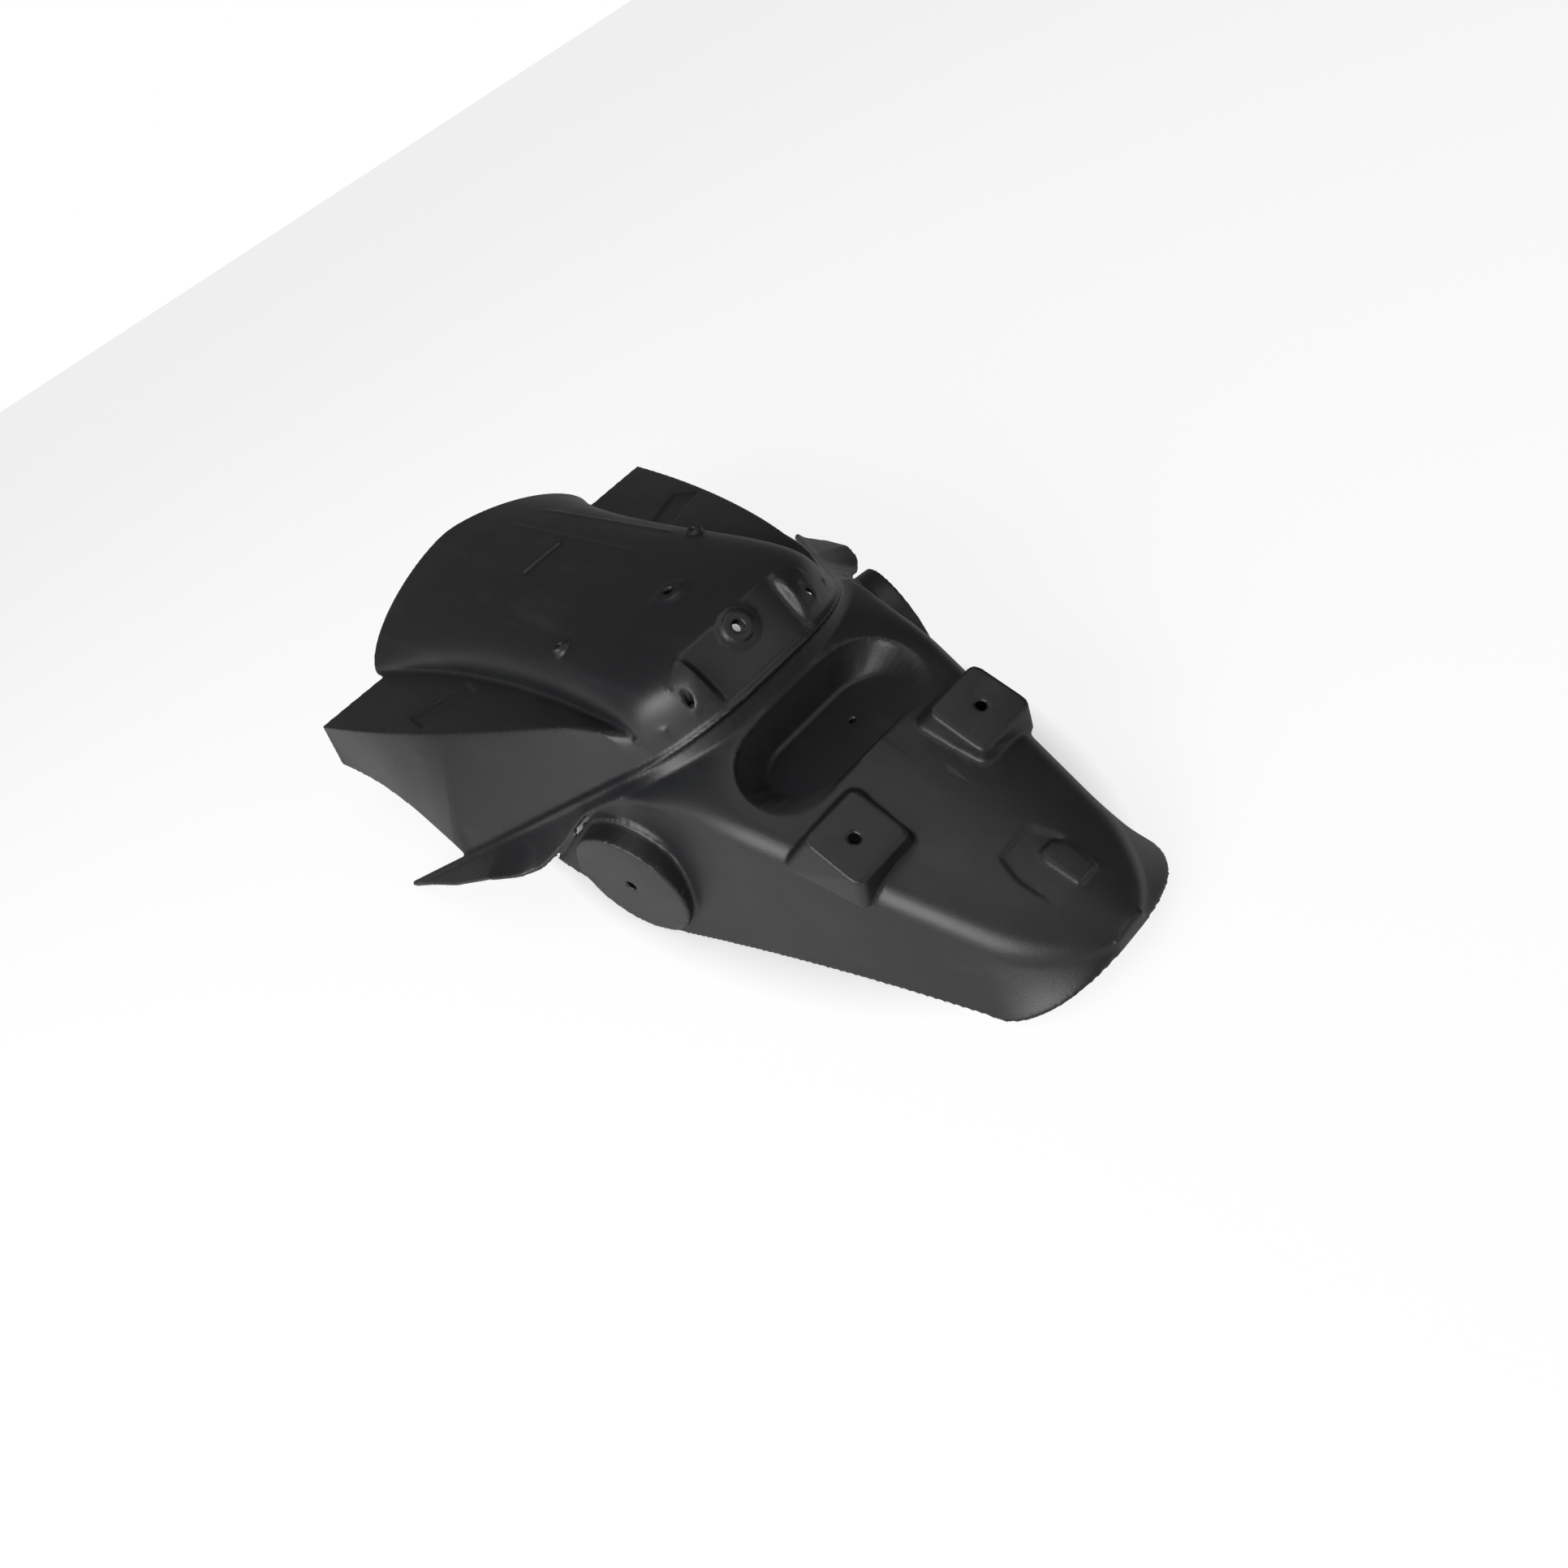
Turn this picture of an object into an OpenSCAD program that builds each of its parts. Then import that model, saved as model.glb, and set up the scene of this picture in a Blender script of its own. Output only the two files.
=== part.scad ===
// Rear fender of a motorcycle, one injection moulding.
// +Y runs to the front tray, -Y to the tail, +X to the rider's right, +Z up.
// Origin on the floor, on the centre plane, midway between the tail end and the front edge.

/* [Overall] */
// length from the front edge of the tray to the end of the tail
body_len = 626; // [610:2:640]
// thickness of the moulded skin
skin = 3; // [2.6:0.1:3.4]
// height of the tray over the floor at the front bolt
tray_z = 157.5; // [150:0.5:162]
// fall of the tray towards the front, in mm per mm
tray_fall = 0.046; // [0.03:0.002:0.06]

/* [Front tray and wings] */
// half-width of the tray foot at the front edge
foot_front = 116; // [111:1:119]
// half-width of the tray foot by the lip
foot_rear = 72; // [69:1:74]
// height of the wing top at the foot, at the front
foot_front_z = 87; // [83:1:92]
// height of the wing top at the foot, by the lip
foot_rear_z = 125; // [120:1:130]
// half-width over the wing folds at the front
fold_front = 175.5; // [170:0.5:180]
// half-width over the wing folds by the lip
fold_rear = 88; // [85:1:91]
// height of the wing folds at the front
fold_front_z = 81.5; // [78:0.5:86]
// height of the wing folds by the lip
fold_rear_z = 132; // [128:1:135]
// half-width at the lower edge of the wing walls
wall_half = 172; // [168:1:176]
// height of the lower edge of the wing walls
wall_low_z = 38; // [32:1:44]
// outward flare of the wing walls at the front corner
wall_flare = 13; // [8:1:16]

/* [Lip and side flanges] */
// height of the lip crest at the centre
lip_z = 124; // [119:1:128]
// distance of the lip crest behind the origin, at the centre
lip_back = 118; // [114:1:122]
// height of the rear face of the lip
lip_face = 14.5; // [12:0.5:16]
// half-width where the lip turns into the side flange
lip_side = 88; // [86:0.5:90]
// half-width over the flange tips
tip_half = 209; // [202:1:214]
// distance of the flange tips ahead of the origin
tip_fwd = 169; // [160:1:176]
// height of the top of the flange tips
tip_z = 3.4; // [3.4:0.2:8]
// largest width of the side flange
flange_w = 25; // [20:0.5:28]

/* [Tail] */
// height of the tail crown just behind the lip
tail_front_z = 107.5; // [105:0.5:109]
// fall of the tail towards the end, in mm per mm
tail_fall = 0.378; // [0.36:0.002:0.39]
// half-width over the tail shoulders by the lip
tail_front_half = 105; // [102:1:107]
// half-width over the tail shoulders at the end
tail_end_half = 54; // [51:1:56]
// half-width at the lower edge of the tail by the lip
tail_low_front = 120; // [117:1:122]
// half-width at the lower edge of the tail at the end
tail_low_end = 62; // [60:1:64]
// length of the rounded end of the tail
end_len = 44; // [40:1:48]
// rise of the lower edge around the rounded end
end_rise = 19; // [15:0.5:20]
// crown of the tail across its width
crown = 7; // [5:0.5:9]
// radius of the tail shoulders
shoulder_r = 16; // [13:0.5:18]

/* [Turn signal bosses] */
// radius of the round bosses
disc_r = 39.5; // [37:0.5:40]
// distance of the boss faces from the centre plane
disc_x = 122; // [119:0.5:126]
// distance of the bosses behind the origin
disc_back = 60; // [57:0.5:66]
// height of the boss centres over the floor
disc_z = 41; // [40.5:0.5:46]
// bore in the face of each boss
disc_bore = 6.5; // [5:0.5:8]

/* [Number plate pads] */
// distance of each pad bore from the centre plane
pad_x = 48; // [45:0.5:51]
// distance of the pad bores behind the origin
pad_back = 205.5; // [200:0.5:210]
// width of each pad top
pad_w = 38; // [34:0.5:42]
// length of each pad top
pad_l = 33; // [29:0.5:36]
// bore through each pad
pad_bore = 5.5; // [4:0.5:6.5]

/* [Bolt bosses on the tray] */
// distance of the front bolt behind the origin
bolt_back = 43.5; // [40:0.5:50]
// distance of the rear bolt behind the origin
bolt2_back = 101; // [99.5:0.5:103]
// outer radius of the bolt collars
collar_r = 8.5; // [7.5:0.5:10]
// bore of the bolt collars
bolt_bore = 6.5; // [5:0.5:7]

/* [Recess behind the lip] */
// overall width of the recess
recess_w = 123; // [112:1:125]
// length of the recess along the tail
recess_l = 53; // [48:1:56]
// height of the recess floor
recess_z = 85; // [82:0.5:87]
// distance of the hole in the recess floor from the centre plane
recess_hole_x = 11; // [8:0.5:15]

/* [Small details] */
// width of the raised beads on the tray
bead_w = 4; // [3:0.2:5]
// height of the raised beads on the tray
bead_h = 1.2; // [0.8:0.1:1.6]
// height of the pads over the tail
pad_h = 15; // [12:0.5:17]
// radius of the screw posts on the tray
post_r = 5; // [4:0.2:6]
// height of the screw posts
post_h = 4; // [3:0.5:6]
// bore of the screw posts
post_bore = 3.6; // [2.6:0.2:4.4]

/* [Hidden] */
$fn = 32;
front_y = body_len / 2;
end_y = -body_len / 2;
round_y = end_y + end_len;
crest_side_y = -60.5;
crest_side_z = 99;
run_k = (tip_fwd - crest_side_y) / (tip_half - lip_side);
run_z = (tip_z - crest_side_z) / (tip_half - lip_side);

function mix(a, b, t) = a + (b - a) * t;
function clamp(v, a, b) = min(max(v, a), b);

// lip crest and flange ridge, seen from above and from the side
function crest_y(x) = x < lip_side ?
    -lip_back + (crest_side_y + lip_back) * pow(x / lip_side, run_k * lip_side / (crest_side_y + lip_back))
    : crest_side_y + run_k * (x - lip_side);
function crest_z(x) = x < lip_side ?
    lip_z + (crest_side_z - lip_z) * pow(x / lip_side, run_z * lip_side / (crest_side_z - lip_z))
    : crest_side_z + run_z * (x - lip_side);
function crest_x(y) = y >= crest_side_y ? lip_side + (y - crest_side_y) / run_k
    : lip_side * pow(clamp((y + lip_back) / (crest_side_y + lip_back), 0, 1),
                     (crest_side_y + lip_back) / (run_k * lip_side));

// front sections: tray, foot, wing top, fold, wall
function fwd(y) = clamp((y + 33) / (front_y + 33), -0.3, 1);
function fwd0(y) = clamp(fwd(y), 0, 1);
function tray_top(y) = tray_z - tray_fall * (y + bolt_back);
function foot_x(y) = foot_rear + (foot_front - foot_rear) * pow(fwd0(y), 2.4);
function foot_z(y) = mix(foot_rear_z, foot_front_z, fwd(y));
function fold_x(y) = mix(fold_rear, fold_front, fwd(y)) + 24 * fwd0(y) * (1 - fwd0(y));
function fold_z(y) = mix(fold_rear_z, fold_front_z, fwd(y)) - 5 * fwd0(y) * (1 - fwd0(y));
function tray_n(y) = mix(2.9, 1.55, pow(fwd0(y), 1.5));
wall_y = crest_side_y + run_k * (wall_half - lip_side);
function low_x(y) = y < wall_y ? crest_x(y) : wall_half + wall_flare * pow((y - wall_y) / (front_y - wall_y), 4);
function low_z(y) = y < wall_y ? crest_z(crest_x(y)) - 1
    : mix(crest_z(wall_half), wall_low_z, clamp((y - wall_y) / 12, 0, 1))
      + 8 * pow((y - wall_y) / (front_y - wall_y), 6);

// tray columns, with one pair at each side of the panel by the rear bolt
TA = [0, 9, 17.15, 20.6, 33.75, 45, 56.25, 67.5, 78.75, 90];
TN = len(TA) - 1;
WN = 3;
LN = 3;
HN = TN + WN + LN;
function col_x0(i) = i <= TN ? foot_rear * pow(sin(TA[i]), 2 / 2.9)
    : i <= TN + WN ? mix(foot_rear, lip_side - 6, (i - TN) / WN)
    : mix(lip_side - 6, lip_side, (i - TN - WN) / LN);
function front_xz(i, y) = i <= TN ?
      [foot_x(y) * pow(sin(TA[i]), 2 / tray_n(y)),
       foot_z(y) + (tray_top(y) - foot_z(y)) * pow(cos(TA[i]), 2 / tray_n(y))]
    : i <= TN + WN ? [mix(foot_x(y), fold_x(y), (i - TN) / WN), mix(foot_z(y), fold_z(y), (i - TN) / WN)]
    : [mix(fold_x(y), low_x(y), (i - TN - WN) / LN), mix(fold_z(y), low_z(y), (i - TN - WN) / LN)];
// share of the lip at a distance d ahead of its crest: flat panel near the centre, hollow curve beside it
function drop(d, x) = let (far = 0.35 * exp(-d / 25), end = 0.35 * exp(-panel_len / 25))
    mix(0.65 * exp(-d / 4.5) + far, d < panel_len ? mix(1, end, d / panel_len) : far, clamp((35 - x) / 4, 0, 1));
function front_pt(i, y) = let (x0 = col_x0(i), p = front_xz(i, y), d = y - crest_y(x0), h = drop(d, x0))
    [mix(p[0], x0, h), y, mix(p[1], crest_z(x0) - 1, h)];
FV = concat([0, 2, 5, 9, 14, 22, 34, 50], [for (k = [1:12]) 50 + k * (front_y + lip_back - 50) / 12]);
// the wing tops start a little behind the front edge of the tray
notch = 20;
panel_len = 22;
disc_yaw = 16.6;
disc_pitch = 2.7;
disc_len = 30;
pad_tilt = 27;
bolt2_tilt = 54;
post_x = 55.5;
post_back = -9;
bead_rear = 22;
bead_front = 232;
function col_front(i) = i < TN ? front_y : front_y - notch * clamp((TN + WN - i) / WN, 0, 1);
function row_y(i, k) = let (r = crest_y(col_x0(i))) r + FV[k] * (col_front(i) - r) / (front_y + lip_back);
function front_grid() = [for (k = [0:len(FV) - 1]) [for (j = [-HN:HN])
    let (p = front_pt(abs(j), row_y(abs(j), k))) [sign(j) * p[0], p[1], p[2]]]];

// tail sections: crown, shoulder, side wall, closing to the rounded end
function tail_x(y) = mix(tail_front_half, tail_end_half, (y + 60) / (round_y + 60));
function tail_lx(y) = let (t = clamp((y + 68) / (round_y + 68), 0, 1))
    mix(tail_low_front, tail_low_end, t) - 10 * t * (1 - t);
function tail_z(y) = tail_front_z + tail_fall * (y + lip_back);
// the crown grows where the tail runs in under the lip
function crown_at(y) = crown + 0.0035 * pow(max(0, y + lip_back + 32), 2);
CN = 5;
SN = 4;
DN = 3;
GN = CN + SN + DN;
lean = 14;
// one point of a tail section: crown, shoulder, side wall; g narrows it, h lowers it, zl lifts its lower edge
function tail_xz(i, y, g, h, zl) =
    let (s = tail_x(y), lx = tail_lx(y), zc = tail_z(y), r = shoulder_r, cx = s - r)
    let (w = crown_at(y), p = i <= CN ? [cx * i / CN, zc - w * pow(i / CN, 2)]
        : i <= CN + SN ? let (a = mix(atan(2 * w / cx), 90 - lean, (i - CN) / SN), a0 = atan(2 * w / cx))
          [cx + r * (sin(a) - sin(a0)), zc - w - r * (cos(a0) - cos(a))]
        : let (a = 90 - lean, a0 = atan(2 * w / cx), t = (i - CN - SN) / DN)
          [mix(cx + r * (sin(a) - sin(a0)), lx, t), mix(zc - w - r * (cos(a0) - cos(a)), 0, t)])
    [p[0] * g, zl + p[1] * h * (1 - zl / zc)];
// height of the outer tail surface over the crown
function tail_surf(x, y) = tail_z(y) - crown_at(y) * pow(x / (tail_x(y) - shoulder_r), 2);
EN = 9;
RN = 11;
function flange_pt() = let (e = edge_pt(lip_side + 0.3 * (tip_half - lip_side))) [e[0] - 4, e[1], e[2] - 3];
function under_lip(i) = let (x = min(tail_x(-70) * i / (CN + SN), lip_side + 10), e = edge_pt(x), c = [x, crest_y(x), crest_z(x)])
    mix(e, c, 0.08) + [-1.2 * x / lip_side, 1, -0.3];
// where a tail column ends under the lip or the flange
function tail_goal(i) = i <= CN + SN ? under_lip(i)
    : let (t = (i - CN - SN) / DN, a = under_lip(CN + SN), b = flange_pt()) a + (b - a) * t;
function tail_pt(i, k) =
    k < EN ? let (a = 80 - 10 * (k - 1), y = round_y - end_len * sin(a) / sin(80),
                    q = tail_xz(i, y, cos(a), pow(cos(a), 0.35), end_rise * pow(sin(a), 2))) [q[0], y, q[1]]
    : let (g = tail_goal(i), u = (k - EN) / RN, y = mix(round_y, g[1], u), q = tail_xz(i, y, 1, 1, 0),
           p = tail_xz(i, g[1], 1, 1, 0), v = clamp((u - 0.72) / 0.28, 0, 1), w = v * v * (3 - 2 * v))
      [q[0] + (g[0] - p[0]) * w, y, q[1] + (g[2] - p[1]) * w];
function tail_grid() = [for (k = [1:EN + RN]) [for (j = [-GN:GN])
    let (p = tail_pt(abs(j), k)) [sign(j) * p[0], p[1], p[2]]]];

// lip face and side flange: offset of the crest, down and outward
function bump(s) = lookup(s, [[0, 0.42], [0.1, 0.3], [0.2, 0.42], [0.33, 0.88], [0.41, 1.08], [0.5, 1.05], [0.72, 0.7], [0.88, 0.3], [1, 0.06]]);
function dip(s) = lookup(s, [[0, -4], [0.15, -5], [0.25, -15], [0.34, -19], [0.44, -12], [0.52, -7], [0.72, -5], [1, -0.4]]);
function edge_pt(x) = x < lip_side ?
      let (t = pow(x / lip_side, 2), w = 0.4 * flange_w * t)
      [x + w * 0.884, crest_y(x) + mix(-1.5, -w * 0.467, t), crest_z(x) + mix(-lip_face, -4, t)]
    : let (s = (x - lip_side) / (tip_half - lip_side), w = flange_w * bump(s))
      [x + w * 0.884, crest_y(x) - w * 0.467, crest_z(x) + dip(s)];
BX = concat([for (k = [0:7]) lip_side * k / 8], [for (k = [0:12]) mix(lip_side, tip_half, k / 12)]);
function band_row(x) = let (c = [x, crest_y(x), crest_z(x)], e = edge_pt(x), t = min(1, x / lip_side))
    [[x - 2.6 * t, c[1] + 2.5 - 0.9 * t, c[2] - 0.5], c, (c + e) / 2, e];
function band_grid() = [for (j = [-len(BX) + 1:len(BX) - 1])
    [for (p = band_row(BX[abs(j)])) [(j < 0 ? -1 : 1) * p[0], p[1], p[2]]]];

// closed sheet of even thickness from a grid of outer points
function unit(v) = v / norm(v);
function normal(g, k, j) = let (n = len(g) - 1, m = len(g[0]) - 1)
    unit(cross(g[k][min(j + 1, m)] - g[k][max(j - 1, 0)], g[min(k + 1, n)][j] - g[max(k - 1, 0)][j]));
module slab(g, up, down) {
    n = len(g);
    m = len(g[0]);
    outer = [for (k = [0:n - 1]) for (j = [0:m - 1]) g[k][j] + up * normal(g, k, j)];
    inner = [for (k = [0:n - 1]) for (j = [0:m - 1]) g[k][j] - down * normal(g, k, j)];
    o = n * m;
    faces = concat(
        [for (k = [0:n - 2]) for (j = [0:m - 2]) each let (a = k * m + j, b = a + 1, c = a + m + 1, d = a + m)
            [[a, c, b], [a, d, c], [a + o, b + o, c + o], [a + o, c + o, d + o]]],
        [for (k = [0:n - 2]) each let (a = k * m, d = a + m) [[a, a + o, d + o], [a, d + o, d]]],
        [for (k = [0:n - 2]) each let (a = k * m + m - 1, d = a + m) [[a, d + o, a + o], [a, d, d + o]]],
        [for (j = [0:m - 2]) each let (a = j, b = j + 1) [[a, b, b + o], [a, b + o, a + o]]],
        [for (j = [0:m - 2]) each let (a = (n - 1) * m + j, b = a + 1) [[a, b + o, b], [a, a + o, b + o]]]);
    polyhedron(points = concat(outer, inner), faces = faces, convexity = 8);
}
module sheet(g, t) {
    slab(g, 0, t);
}

// solid through rings of points, bottom ring first, each ring counter-clockwise seen from above
function middle(r) = [for (c = [0:2]) [for (p = r) p[c]] * [for (p = r) 1] / len(r)];
module loft(rings) {
    n = len(rings[0]);
    m = len(rings);
    pts = concat([for (r = rings) each r], [middle(rings[0]), middle(rings[m - 1])]);
    polyhedron(points = pts, faces = concat(
        [for (k = [0:m - 2]) for (i = [0:n - 1]) each let (a = k * n + i, b = k * n + (i + 1) % n)
            [[a, b + n, b], [a, a + n, b + n]]],
        [for (i = [0:n - 1]) [i, (i + 1) % n, m * n]],
        [for (i = [0:n - 1]) [(m - 1) * n + (i + 1) % n, (m - 1) * n + i, m * n + 1]]), convexity = 4);
}
// turns a ring over to the other side of the centre plane
function flip(r, side) = side > 0 ? r : [for (i = [len(r) - 1:-1:0]) [-r[i][0], r[i][1], r[i][2]]];
// ring with rounded corners around four corner centres: front right, front left, rear left, rear right
function corner_ring(c, r) = [for (i = [0:3]) for (a = [0:2]) c[i] + r * [cos(90 * i + 45 * a), sin(90 * i + 45 * a)]];
// ring with two half-round ends
function stadium(half, r, y) = concat([for (a = [-90:18:90]) [half + r * cos(a), y + r * sin(a)]],
                                      [for (a = [90:18:270]) [r * cos(a) - half, y + r * sin(a)]]);
function on_tail(ring, h) = [for (p = ring) [p[0], p[1], tail_surf(min(abs(p[0]), tail_x(p[1]) - shoulder_r), p[1]) + h]];

// height of the outer tray surface
function tray_surf(x, y) = let (fx = foot_x(y), n = tray_n(y),
        z = foot_z(y) + (tray_top(y) - foot_z(y)) * pow(1 - pow(min(abs(x), fx) / fx, n), 1 / n))
    mix(z, crest_z(abs(x)) - 1, drop(y - crest_y(abs(x)), abs(x)));

// a raised bead along the tray
module bead(x, y0, y1) {
    sheet([for (k = [0:6]) let (y = mix(y0, y1, k / 6), h = k == 0 || k == 6 ? -0.6 : bead_h)
        [for (w = [-1, -0.4, 0.4, 1]) let (u = x + w * bead_w / 2)
            [u, y, tray_surf(u, y) + (abs(w) < 1 ? h : -0.4)]]], 2.4);
}

// blind recess behind the lip, with a level floor and scooped ends
module recess_form(grow) {
    y = -lip_back - 2 - recess_l / 2;
    floor_ring = stadium(recess_w * 0.175, recess_l * 0.465 + grow, y + recess_l * 0.02);
    rim = stadium((recess_w - recess_l) / 2, recess_l / 2 + grow, y);
    loft([[for (p = floor_ring) [p[0], p[1], recess_z - grow]], on_tail(rim, 0), on_tail(rim, 14)]);
}

// rows of outer tail points, from the rear to the front
function tail_patch(y0, y1, n, m) = [for (k = [0:n]) let (y = mix(y0, y1, k / n))
    [for (j = [-m:m]) let (q = tail_xz(abs(j), y, 1, 1, 0)) [sign(j) * q[0], y, q[1]]]];

// number plate pad: level sides at the top, drafted down to the tail
function pad_top(x, y, h) = tail_surf(pad_x, -pad_back) + pad_h + h + tan(pad_tilt) * (y + pad_back);
module pad_form(side, grow) {
    r = 5 + grow;
    x0 = pad_x - 1.5 - pad_w / 2 + 5;
    x1 = pad_x - 1.5 + pad_w / 2 - 5;
    y0 = -pad_back - pad_l / 2 + 5;
    y1 = -pad_back + pad_l / 2 - 5;
    low = corner_ring([[x1 + 9, y1 + 19], [x0 - 7, y1 + 17], [x0 - 3, y0 + 1], [x1 + 2, y0 + 5]], r);
    top = corner_ring([[x1, y1], [x0, y1], [x0, y0], [x1, y0]], r);
    loft([flip(on_tail(low, grow < 0 ? -6.5 : -9), side), flip([for (p = top) [p[0], p[1], pad_top(p[0], p[1], grow - 1)]], side),
        flip([for (p = top) [mix(p[0], pad_x, 0.03), mix(p[1], -pad_back, 0.03), pad_top(p[0], p[1], grow)]], side)]);
}

module disc_at(side) {
    translate([side * disc_x, -disc_back, disc_z]) rotate([0, 0, side > 0 ? -disc_yaw : 180 + disc_yaw])
        rotate([0, 90 - disc_pitch, 0]) children();
}

module collar(y, h, tilt) {
    translate([0, -y, tray_surf(0, -y)]) rotate([tilt, 0, 0]) {
        translate([0, 0, -skin - 4]) cylinder(h = skin + 4 + h, r = collar_r);
        translate([0, 0, -skin]) cylinder(h = skin + 0.9, r = collar_r + 3.5);
    }
}

module screw_post(side) {
    z = tray_surf(post_x, -post_back);
    translate([side * post_x, -post_back, z - skin - 2]) cylinder(h = skin + 2 + post_h, r = post_r);
}

// raised or sunk flat block over a surface, from four corners and a height over it
module block(side, c, low, high) {
    loft([flip([for (p = c) [p[0], p[1], p[2] + low]], side), flip([for (p = c) [p[0], p[1], p[2] + high]], side)]);
}
function wing_pt(x, y) = [x, y, mix(foot_z(y), fold_z(y), (x - foot_x(y)) / (fold_x(y) - foot_x(y)))];
function tray_pt(x, y) = [x, y, tray_surf(x, y)];
function strap() = [wing_pt(134, 142), wing_pt(132, 178), wing_pt(88, 153.5), wing_pt(92, 125)];
function tail_ring(c, h) = [for (p = c) [p[0], p[1], tail_surf(p[0], p[1]) + h]];

module tray_details() {
    // low pad near the front
    block(1, [tray_pt(17, 141), tray_pt(-17, 141), tray_pt(-17, 125), tray_pt(17, 125)], -2, 2.2);
    for (side = [-1, 1]) {
        // wedge beside the panel of the rear bolt
        block(side, [[50.5, -97, 144.5], [36, -93, 152.5], [36.5, -112, 129.5], [47.5, -107, 129]], -6, 1.6);
        // clip between tray side and lip
        block(side, [[75, -76, 120], [69, -67, 121], [56, -88, 127], [62, -96, 125]], -5, 3);
    }
}

// everything but the screw holes: the skin with its raised and sunk parts
module skin_solids() {
    sheet(front_grid(), skin);
    sheet(tail_grid(), skin);
    sheet(band_grid(), skin);
    for (x = [-51, -24, 24, 51]) bead(x, bead_rear, bead_front);
    for (side = [-1, 1]) {
        disc_at(side) {
            translate([0, 0, -disc_len]) cylinder(h = disc_len, r = disc_r, $fn = 36);
            translate([0, 0, -disc_len]) cylinder(h = disc_len - 14, r = disc_r + 3, $fn = 36);
        }
        intersection() {
            pad_form(side, 0);
            slab(tail_patch(-236, -158, 4, CN + SN), 28, 2.4);
        }
        screw_post(side);
    }
    translate([-10, end_y + 0.1, tail_pt(GN, 1)[2]]) cube([20, 3, tail_pt(0, 1)[2] - tail_pt(GN, 1)[2]]);
    collar(bolt_back, 2.5, 0);
    collar(bolt2_back, 3, bolt2_tilt);
    tray_details();
    intersection() {
        recess_form(skin);
        slab(tail_patch(-190, -112, 5, CN + 1), -0.5, 36);
    }
    loft([tail_ring(mark_in(), -4), tail_ring(mark_in(), 0.6)]);
}

// shallow recess by the end of the tail, and the raised block in it
function mark() = [[14.5, -294], [16.5, -268], [11, -255], [-11, -255], [-15.5, -268], [-14.5, -294]];
function mark_in() = [[14, -289], [15, -272], [11, -268], [3, -268], [1, -272], [1, -289]];

module hollows() {
    recess_form(0);
    for (side = [-1, 1]) {
        disc_at(side) translate([0, 0, -disc_len - 30]) cylinder(h = disc_len + 30 - skin, r = disc_r - skin, $fn = 36);
        pad_form(side, -skin);
        translate([side * 45, -104, 120]) cylinder(h = 40, r = 2, $fn = 16);
        block(side, strap(), -1.6, 5);
        block(side, [[69, -76, 120], [67, -74, 121], [61, -85, 124], [63, -88, 124]], 1, 8);
    }
    difference() {
        loft([tail_ring(mark(), -1.4), tail_ring(mark(), 5)]);
        loft([tail_ring(mark_in(), -4), tail_ring(mark_in(), 0.6)]);
    }
}

// the moulded skin, trimmed level below and drawn to its overall length
module moulding() {
    resize([0, body_len, 0]) intersection() {
        difference() {
            skin_solids();
            hollows();
        }
        translate([-tip_half - 20, end_y, 0]) cube([2 * tip_half + 40, body_len, tray_z + 20]);
    }
}

// screw holes
module bores() {
    translate([0, -bolt_back, tray_top(-bolt_back) - 20]) cylinder(h = 40, r = bolt_bore / 2);
    translate([0, -bolt2_back, tray_surf(0, -bolt2_back)]) rotate([bolt2_tilt, 0, 0])
        translate([0, 0, -16]) cylinder(h = 30, r = bolt_bore / 2);
    translate([recess_hole_x, -lip_back - 28, recess_z - 10]) cylinder(h = 20, r = 2.2);
    for (side = [-1, 1]) {
        disc_at(side) translate([0, 0, -skin - 1]) cylinder(h = skin + 2, r = disc_bore / 2);
        translate([side * pad_x, -pad_back, 40]) cylinder(h = 80, r = pad_bore / 2);
        translate([side * post_x, -post_back, tray_surf(post_x, -post_back) - 20]) cylinder(h = 40, r = post_bore / 2);
    }
}

module rear_fender() {
    color([0.09, 0.1, 0.11]) difference() {
        moulding();
        bores();
    }
}

rear_fender();
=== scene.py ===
"""Rear fender of a motorcycle: one injection moulding of black grained plastic."""

import math

import bmesh
import bpy
from mathutils import Matrix, Vector


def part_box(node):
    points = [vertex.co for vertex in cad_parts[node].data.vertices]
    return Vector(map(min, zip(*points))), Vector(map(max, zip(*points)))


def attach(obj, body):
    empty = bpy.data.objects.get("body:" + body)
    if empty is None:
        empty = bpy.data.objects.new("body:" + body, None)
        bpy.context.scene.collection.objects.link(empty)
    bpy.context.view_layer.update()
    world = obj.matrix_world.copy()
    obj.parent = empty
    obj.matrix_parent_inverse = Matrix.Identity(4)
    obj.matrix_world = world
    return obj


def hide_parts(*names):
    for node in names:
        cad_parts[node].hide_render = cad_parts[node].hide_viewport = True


bl_info = {
    "name": "Motorcycle rear fender",
    "version": (1, 0, 0),
    "blender": (4, 5, 0),
    "location": "View3D > Sidebar > Fender",
    "description": "Builds a moulded motorcycle rear fender with its stage, lights and camera",
    "category": "Object",
}

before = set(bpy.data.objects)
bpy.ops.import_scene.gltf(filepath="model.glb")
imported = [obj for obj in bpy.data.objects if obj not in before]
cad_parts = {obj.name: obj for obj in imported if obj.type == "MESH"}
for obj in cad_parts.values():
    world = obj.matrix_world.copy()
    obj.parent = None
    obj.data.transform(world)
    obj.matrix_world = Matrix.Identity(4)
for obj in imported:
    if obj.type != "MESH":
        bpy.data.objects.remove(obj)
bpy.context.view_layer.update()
MM = 0.001


# ---- sizes and colours a user may change -------------------------------------------------------


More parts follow.
